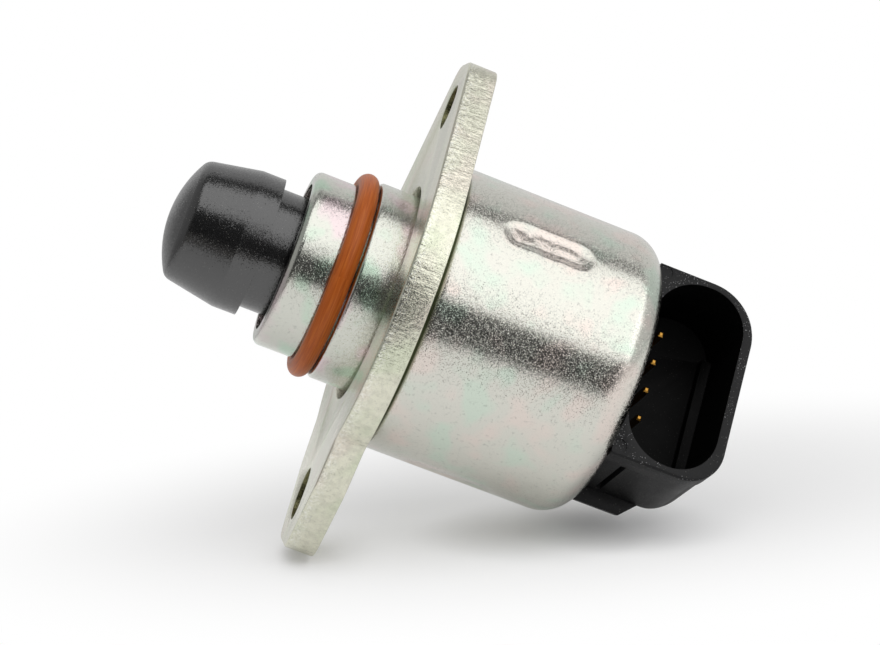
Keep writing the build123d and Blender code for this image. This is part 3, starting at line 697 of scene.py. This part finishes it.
# %% Outline of the can, in millimetres along the axis and out from it
CAN_R, CAN_WALL, CAN_FRONT, CAN_STRAIGHT = 18.0, 1.0, 3.7, 22.8
CAN_FRONT_ROUND, CAN_HOLE_R = 1.5, 12.55
CAN_ROLL_R, CAN_ROLL_IN = 4.5, 2.75
STAKE_ANGLES = (42.5, -77.5, 162.5)     # degrees from -Y towards +Z
STAKE_MIDDLE = CAN_FRONT + 11.6
STAKE_LENGTH, STAKE_WIDTH = 11.9, 4.5
STAKE_DEPTH, STAKE_SHOULDER = 0.28, 1.35
FINE_FROM, FINE_TO = 8.5, 22.1          # the stretch with the stake marks has its points closer
FINE_STEP, COARSE_STEP = 0.25, 0.8


def arc(x, r, radius, start, end, steps):
    """Points of an arc round (x, r); angles in degrees from +X towards the outside."""
    turns = [math.radians(start + (end - start) * i / steps) for i in range(steps + 1)]
    return [(x + radius * math.cos(t), r + radius * math.sin(t)) for t in turns]


def line(start, end, step):
    """Points from start to end, about a step apart, without the last."""
    count = max(1, round(math.dist(start, end) / step))
    return [tuple(a + (b - a) * i / count for a, b in zip(start, end)) for i in range(count)]


roll_x = CAN_FRONT + CAN_STRAIGHT
roll_centre = CAN_R - CAN_ROLL_R
lip_r = CAN_R - CAN_ROLL_IN
outer_lip = math.degrees(math.asin((lip_r - roll_centre) / CAN_ROLL_R))
inner_lip = math.degrees(math.asin((lip_r - roll_centre) / (CAN_ROLL_R - CAN_WALL)))
inside_r = CAN_R - CAN_WALL
front_x, back_x = CAN_FRONT, CAN_FRONT + CAN_WALL
inner_round = CAN_FRONT_ROUND - CAN_WALL
can_outline = (
    line((front_x, CAN_HOLE_R), (front_x, CAN_R - CAN_FRONT_ROUND), 1.0)
    + arc(front_x + CAN_FRONT_ROUND, CAN_R - CAN_FRONT_ROUND, CAN_FRONT_ROUND, 180, 90, 10)[:-1]
    + line((front_x + CAN_FRONT_ROUND, CAN_R), (FINE_FROM, CAN_R), COARSE_STEP)
    + line((FINE_FROM, CAN_R), (FINE_TO, CAN_R), FINE_STEP)
    + line((FINE_TO, CAN_R), (roll_x, CAN_R), COARSE_STEP)
    + arc(roll_x, roll_centre, CAN_ROLL_R, 90, outer_lip, 22)
    + arc(roll_x, roll_centre, CAN_ROLL_R - CAN_WALL, inner_lip, 90, 12)
    + line((roll_x, inside_r), (back_x + inner_round, inside_r), 3.0)[1:]
    + arc(back_x + inner_round, inside_r - inner_round, inner_round, 90, 180, 4)
    + [(back_x, CAN_HOLE_R), (front_x, CAN_HOLE_R)])
print("outline of", len(can_outline), "points")

# %% The tree that turns an outline and presses the stake marks
can_tree, given = new_tree("turned_can", {
    "Outline": ("Object", None), "Columns": ("Int", 2), "Around": ("Int", 360),
    "Outside": ("Float", 0.018), "Stake Middle": ("Float", 0.015), "Stake Length": ("Float", 0.01),
    "Stake Width": ("Float", 0.004), "Stake Depth": ("Float", 0.0005),
    "Shoulder": ("Float", 0.001), "Material": ("Material", None)})
outline = add(can_tree, "GeometryNodeObjectInfo", {"Object": given["Outline"]})
rows = add(can_tree, MATH, {"operation": "ADD", 0: given["Around"], 1: 1.0})
sheet = add(can_tree, "GeometryNodeMeshGrid", {
    "Size X": 1.0, "Size Y": 1.0, "Vertices X": given["Columns"], "Vertices Y": rows})
flat = add(can_tree, SPLIT, {0: add(can_tree, "GeometryNodeInputPosition")}).outputs
last = add(can_tree, MATH, {"operation": "SUBTRACT", 0: given["Columns"], 1: 1.0})
share_x = add(can_tree, MATH, {"operation": "ADD", 0: flat["X"], 1: 0.5})
exact_column = add(can_tree, MATH, {"operation": "MULTIPLY", 0: last, 1: share_x})
column = add(can_tree, MATH, {"operation": "ROUND", 0: exact_column})
share_y = add(can_tree, MATH, {"operation": "ADD", 0: flat["Y"], 1: 0.5})
turn = add(can_tree, MATH, {"operation": "MULTIPLY", 0: share_y, 1: math.tau})
point = add(can_tree, "GeometryNodeSampleIndex", {
    "data_type": "FLOAT_VECTOR", "domain": "POINT", "Geometry": outline.outputs["Geometry"],
    "Index": column, "Value": add(can_tree, "GeometryNodeInputPosition")})
place = add(can_tree, SPLIT, {0: point}).outputs
along_x, out_r = place["X"], place["Y"]
cosine = add(can_tree, MATH, {"operation": "COSINE", 0: turn})
towards_camera = add(can_tree, MATH, {"operation": "MULTIPLY", 0: cosine, 1: -1.0})
upwards = add(can_tree, MATH, {"operation": "SINE", 0: turn})


def round_axis(radius):
    """The grid's point at this radius, at its own place along the axis and its own angle."""
    return add(can_tree, JOIN, {
        0: along_x,
        1: add(can_tree, MATH, {"operation": "MULTIPLY", 0: radius, 1: towards_camera}),
        2: add(can_tree, MATH, {"operation": "MULTIPLY", 0: radius, 1: upwards})})


print("nodes for the turned outline:", len(can_tree.nodes))

# %% Stake marks: a rounded slot, with a wobbling edge and a lumpy floor
LUMP_MM, LUMP_EDGE, LUMP_SHIFT = 1.5, 0.9 * MM, 0.45 * MM
LUMP_DEEP, LUMP_FLAT = 0.9, 0.45
lumps = add(can_tree, "ShaderNodeTexNoise", {
    "Scale": per_metre(LUMP_MM), "Detail": 3.0, "Roughness": 0.65, "Vector": round_axis(out_r)})
half_width = add(can_tree, MATH, {"operation": "MULTIPLY", 0: given["Stake Width"], 1: 0.5})
half_length = add(can_tree, MATH, {"operation": "MULTIPLY", 0: given["Stake Length"], 1: 0.5})
half_run = add(can_tree, MATH, {"operation": "SUBTRACT", 0: half_length, 1: half_width})
from_stake = add(can_tree, MATH, {"operation": "SUBTRACT", 0: along_x, 1: given["Stake Middle"]})
from_middle = add(can_tree, MATH, {"operation": "ABSOLUTE", 0: from_stake})
past_run = add(can_tree, MATH, {"operation": "SUBTRACT", 0: from_middle, 1: half_run})
past_end = add(can_tree, MATH, {"operation": "MAXIMUM", 0: past_run, 1: 0.0})
soft_half = add(can_tree, MATH, {"operation": "ADD", 0: half_width, 1: LUMP_SHIFT})
pressed = None
for angle in STAKE_ANGLES:
    round_way = add(can_tree, MATH, {"operation": "SUBTRACT", 0: turn, 1: math.radians(angle)})
    away = add(can_tree, MATH, {"operation": "WRAP", 0: round_way, 1: math.pi, 2: -math.pi})
    beside = add(can_tree, MATH, {"operation": "MULTIPLY", 0: away, 1: given["Outside"]})
    wobble = add(can_tree, MATH, {"operation": "MULTIPLY_ADD", 0: lumps, 1: LUMP_EDGE,
                                  2: from_line(can_tree, past_end, beside)})
    edge = add(can_tree, MATH, {"operation": "SUBTRACT", 0: soft_half, 1: wobble})
    mark = add(can_tree, MAP_RANGE, {
        "interpolation_type": "SMOOTHSTEP", 0: edge, 1: 0.0, 2: given["Shoulder"]})
    pressed = mark if pressed is None else add(
        can_tree, MATH, {"operation": "MAXIMUM", 0: pressed, 1: mark})
skin = add(can_tree, MATH, {"operation": "SUBTRACT", 0: given["Outside"], 1: 0.01 * MM})
on_outside = add(can_tree, MATH, {"operation": "GREATER_THAN", 0: out_r, 1: skin})
stake = add(can_tree, MATH, {"operation": "MULTIPLY", 0: pressed, 1: on_outside})
lumpy = add(can_tree, MATH, {"operation": "MULTIPLY_ADD", 0: lumps, 1: LUMP_DEEP, 2: LUMP_FLAT})
lumpy_depth = add(can_tree, MATH, {"operation": "MULTIPLY", 0: given["Stake Depth"], 1: lumpy})
sink = add(can_tree, MATH, {"operation": "MULTIPLY", 0: stake, 1: lumpy_depth})
dented_r = add(can_tree, MATH, {"operation": "SUBTRACT", 0: out_r, 1: sink})
shaped = add(can_tree, "GeometryNodeSetPosition", {
    "Geometry": sheet.outputs["Mesh"], "Position": round_axis(dented_r)})
stored = add(can_tree, "GeometryNodeStoreNamedAttribute", {
    "Name": "stake", "data_type": "FLOAT", "domain": "POINT", "Geometry": shaped, "Value": stake})
closed = add(can_tree, "GeometryNodeMergeByDistance", {"Distance": 0.002 * MM, "Geometry": stored})
end_tree(can_tree, closed, given)
print("nodes in the can's tree:", len(can_tree.nodes))

# %% Turn the can
CAN_SIDES = 376
outline_mesh = bpy.data.meshes.new("can_outline")
outline_mesh.from_pydata([(x * MM, r * MM, 0) for x, r in can_outline], [], [])
outline_object = new_object("can_outline", outline_mesh)
can = grow("drawn_can", can_tree, {
    "Outline": outline_object, "Columns": len(can_outline), "Around": CAN_SIDES,
    "Outside": CAN_R * MM, "Stake Middle": STAKE_MIDDLE * MM, "Stake Length": STAKE_LENGTH * MM,
    "Stake Width": STAKE_WIDTH * MM, "Stake Depth": STAKE_DEPTH * MM,
    "Shoulder": STAKE_SHOULDER * MM, "Material": zinc_can})
bpy.data.objects.remove(outline_object)
print("can volume in mm3:", round(close_up(can.data) / MM ** 3))
stand_in(can, "motor_can", "housing")

# %% [markdown]
# ## The windings
#
# Each bobbin carries a few hundred turns of enamelled copper wire. Only the outer layer can ever
# be seen, so a tree lays that layer as separate turns, side by side, on a plain core.

# %% The tree for a winding
TURN_SIDES, WIRE_SIDES = 120, 8
coil_tree, given = new_tree("wound_coil", {
    "First": ("Float", 0.0), "Length": ("Float", 0.005), "Inside": ("Float", 0.0107),
    "Outside": ("Float", 0.0152), "Wire": ("Float", 0.00025), "Material": ("Material", None)})
wire_r = add(coil_tree, MATH, {"operation": "MULTIPLY", 0: given["Wire"], 1: 0.5})
turns_fit = add(coil_tree, MATH, {"operation": "DIVIDE", 0: given["Length"], 1: given["Wire"]})
turns = add(coil_tree, MATH, {"operation": "FLOOR", 0: turns_fit})
first_x = add(coil_tree, MATH, {"operation": "ADD", 0: given["First"], 1: wire_r})
places = add(coil_tree, "GeometryNodeMeshLine", {
    "mode": "OFFSET", "Count": turns,
    "Start Location": add(coil_tree, JOIN, {0: first_x}),
    "Offset": add(coil_tree, JOIN, {0: given["Wire"]})})
core_out = add(coil_tree, MATH, {"operation": "SUBTRACT", 0: given["Outside"], 1: wire_r})
turn_path = add(coil_tree, "GeometryNodeCurvePrimitiveCircle", {
    "Resolution": TURN_SIDES, "Radius": core_out})
wire_section = add(coil_tree, "GeometryNodeCurvePrimitiveCircle", {
    "Resolution": WIRE_SIDES, "Radius": wire_r})
one_turn = add(coil_tree, "GeometryNodeCurveToMesh", {
    "Curve": turn_path, "Profile Curve": wire_section})
upright = add(coil_tree, "GeometryNodeTransform", {0: one_turn, "Rotation": (0, math.pi / 2, 0)})
laid = add(coil_tree, "GeometryNodeInstanceOnPoints", {"Points": places, "Instance": upright})
core_depth = add(coil_tree, MATH, {"operation": "SUBTRACT", 0: core_out, 1: given["Inside"]})
core_both = add(coil_tree, MATH, {"operation": "ADD", 0: core_out, 1: given["Inside"]})
core_r = add(coil_tree, MATH, {"operation": "MULTIPLY", 0: core_both, 1: 0.5})
core_path = add(coil_tree, "GeometryNodeCurvePrimitiveCircle", {
    "Resolution": TURN_SIDES, "Radius": core_r})
core_section = add(coil_tree, "GeometryNodeCurvePrimitiveQuadrilateral", {
    "Width": core_depth, "Height": given["Length"]})
core = add(coil_tree, "GeometryNodeCurveToMesh", {
    "Curve": core_path, "Profile Curve": core_section})
half_long = add(coil_tree, MATH, {"operation": "MULTIPLY", 0: given["Length"], 1: 0.5})
core_x = add(coil_tree, MATH, {"operation": "ADD", 0: given["First"], 1: half_long})
core_place = add(coil_tree, JOIN, {0: core_x})
core_up = add(coil_tree, "GeometryNodeTransform", {
    0: core, "Rotation": (0, math.pi / 2, 0), "Translation": core_place})
both = add(coil_tree, "GeometryNodeJoinGeometry")
for half in (laid, core_up):
    coil_tree.links.new(half.outputs[0], both.inputs[0])
end_tree(coil_tree, both, given)
print("nodes for a winding:", len(coil_tree.nodes))

# %% Wind both bobbins
WIRE_MM = 0.25
for name in ("winding_front", "winding_rear"):
    low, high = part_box(name)
    inside_of = min(math.hypot(v.co.y, v.co.z) for v in nodes[name].data.vertices)
    coil = grow(name.replace("winding", "coil"), coil_tree, {
        "First": low.x, "Length": high.x - low.x, "Inside": inside_of, "Outside": high.y,
        "Wire": WIRE_MM * MM, "Material": copper})
    smooth(coil.data, sharp_degrees=40)
    stand_in(coil, name, "housing")

# %% [markdown]
# ## The lead screw
#
# CAD has the screw as a plain rod at its thread's outside size. The real one is rolled: a thread of
# 1 mm pitch behind, and two flats in front that slide in the guide and stop it from turning. Its
# surface follows one rule, a radius for every place and angle, so it is made as rings of points.

# %% Screw
PITCH_MM, THREAD_DEPTH = 1.0, 0.42
RUN_IN, RUN_OUT = 0.8, 0.5              # the groove gets its depth, and loses it, over this length
GROOVE_WIDE, GROOVE_SLOPE = 1.6, 4.6    # the groove's profile, over half a pitch each way
FLAT_HALF, CHAMFER = 1.9, 0.4
screw_low, screw_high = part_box("lead_screw")
screw_r = screw_high.y / MM
screw_start, screw_end = screw_low.x / MM, screw_high.x / MM
flat_from, flat_to = -9.2, 3.5
thread_from, thread_to = 4.4, screw_end - 0.5


def screw_radius(x, angle):
    """The screw's radius in millimetres at a place along it and an angle round it."""
    if flat_from < x < flat_to:
        return min(screw_r, FLAT_HALF / max(abs(math.sin(angle)), 1e-6))
    if thread_from < x < thread_to:
        phase = ((x - thread_from) / PITCH_MM - angle / math.tau) % 1.0
        runout = min(1.0, (x - thread_from) / RUN_IN, (thread_to - x) / RUN_OUT)
        groove = min(1.0, max(0.0, GROOVE_WIDE - abs(phase - 0.5) * GROOVE_SLOPE))
        return screw_r - THREAD_DEPTH * groove * runout
    return screw_r


SIDES, RING_STEP, STEP_WALL = 64, 0.1, 0.01
stations = [screw_start, screw_start + CHAMFER, flat_from - STEP_WALL, flat_from + STEP_WALL,
            flat_to - STEP_WALL, flat_to + STEP_WALL]
stations += [thread_from + i * RING_STEP for i in range(int((thread_to - thread_from) / RING_STEP))]
stations += [screw_end - CHAMFER, screw_end]
points, faces = [], []
for x in stations:
    cut_back = CHAMFER if x in (screw_start, screw_end) else 0.0
    for i in range(SIDES):
        angle = math.tau * i / SIDES
        r = screw_radius(x, angle) - cut_back
        points.append((x * MM, r * math.cos(angle) * MM, r * math.sin(angle) * MM))
for row in range(len(stations) - 1):
    for i in range(SIDES):
        a, b = row * SIDES + i, row * SIDES + (i + 1) % SIDES
        faces.append((a, b, b + SIDES, a + SIDES))
faces.append(tuple(reversed(range(SIDES))))
faces.append(tuple(range((len(stations) - 1) * SIDES, len(stations) * SIDES)))
screw_mesh = bpy.data.meshes.new("rolled_screw")
screw_mesh.from_pydata(points, [], faces)
screw = new_object("rolled_screw", screw_mesh)
print("screw volume in mm3:", round(close_up(screw_mesh) / MM ** 3))
stand_in(screw, "lead_screw", "plunger", screw_steel)

# %% [markdown]
# ## The spring
#
# The spring stands on the guide and pushes in the hollow pintle. When the screw draws the pintle
# in, the spring's front end goes with it and the coils close. Here a copy of the CAD spring takes
# its place on the housing, as it stands.

# %% Spring
spring = new_object("coiled_spring", nodes["pintle_spring"].data.copy())
stand_in(spring, "pintle_spring", "housing", screw_steel)
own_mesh(spring)

# %% [markdown]
# ## Broken edges
#
# No real edge is perfectly sharp. The flange is punched from plate, and the connector comes from a
# mould with small radii. A copy of each CAD mesh has its loose triangles joined and its hard edges
# rounded by a bevel, which also gives the light something to catch on.

# %% Round the edges of copies
SAME_POINT, FLAT_DEGREES = 0.0005 * MM, 0.05
EDGE_DEGREES, EDGE_SEGMENTS = 35, 2


def broken_edges(node, name, width_mm):
    """A copy of a CAD node with its hard edges rounded."""
    mesh = nodes[node].data.copy()
    mesh.name = name
    shape = bmesh.new()
    shape.from_mesh(mesh)
    bmesh.ops.remove_doubles(shape, verts=shape.verts, dist=SAME_POINT)
    bmesh.ops.dissolve_limit(
        shape, angle_limit=math.radians(FLAT_DEGREES), verts=shape.verts, edges=shape.edges)
    shape.to_mesh(mesh)
    shape.free()
    piece = new_object(name, mesh)
    bevel = piece.modifiers.new("edges", "BEVEL")
    bevel.width = width_mm * MM
    bevel.segments = EDGE_SEGMENTS
    bevel.limit_method = "ANGLE"
    bevel.angle_limit = math.radians(EDGE_DEGREES)
    rounded = plain_mesh(piece, name)
    piece.modifiers.clear()
    piece.data = rounded
    smooth(rounded, sharp_degrees=30)
    return piece


plate = broken_edges("flange_plate", "punched_flange", 0.22)
stand_in(plate, "flange_plate", "housing", zinc_plate)
cap = broken_edges("connector_cap", "moulded_cap", 0.14)
stand_in(cap, "connector_cap", "housing", cap_black)

# %% The inside of the mouth is a darker, duller black: painted shade
WALL_SLACK, MOUTH_SKIN = 0.02, 0.5      # the walls count as inside, the rim's rounding doesn't
cap.data.materials.append(mouth_shade_black)
in_mouth = 0
for face in cap.data.polygons:
    centre = face.center / MM
    if (MOUTH_X[0] - WALL_SLACK < centre.x < MOUTH_X[1] + WALL_SLACK
            and abs(centre.dot(MOUTH_SIDE)) < MOUTH_HALF + WALL_SLACK
            and centre.dot(MOUTH_OUT) < MOUTH_PLANE - MOUTH_SKIN):
        face.material_index = 1
        in_mouth += 1
print("faces inside the mouth:", in_mouth)
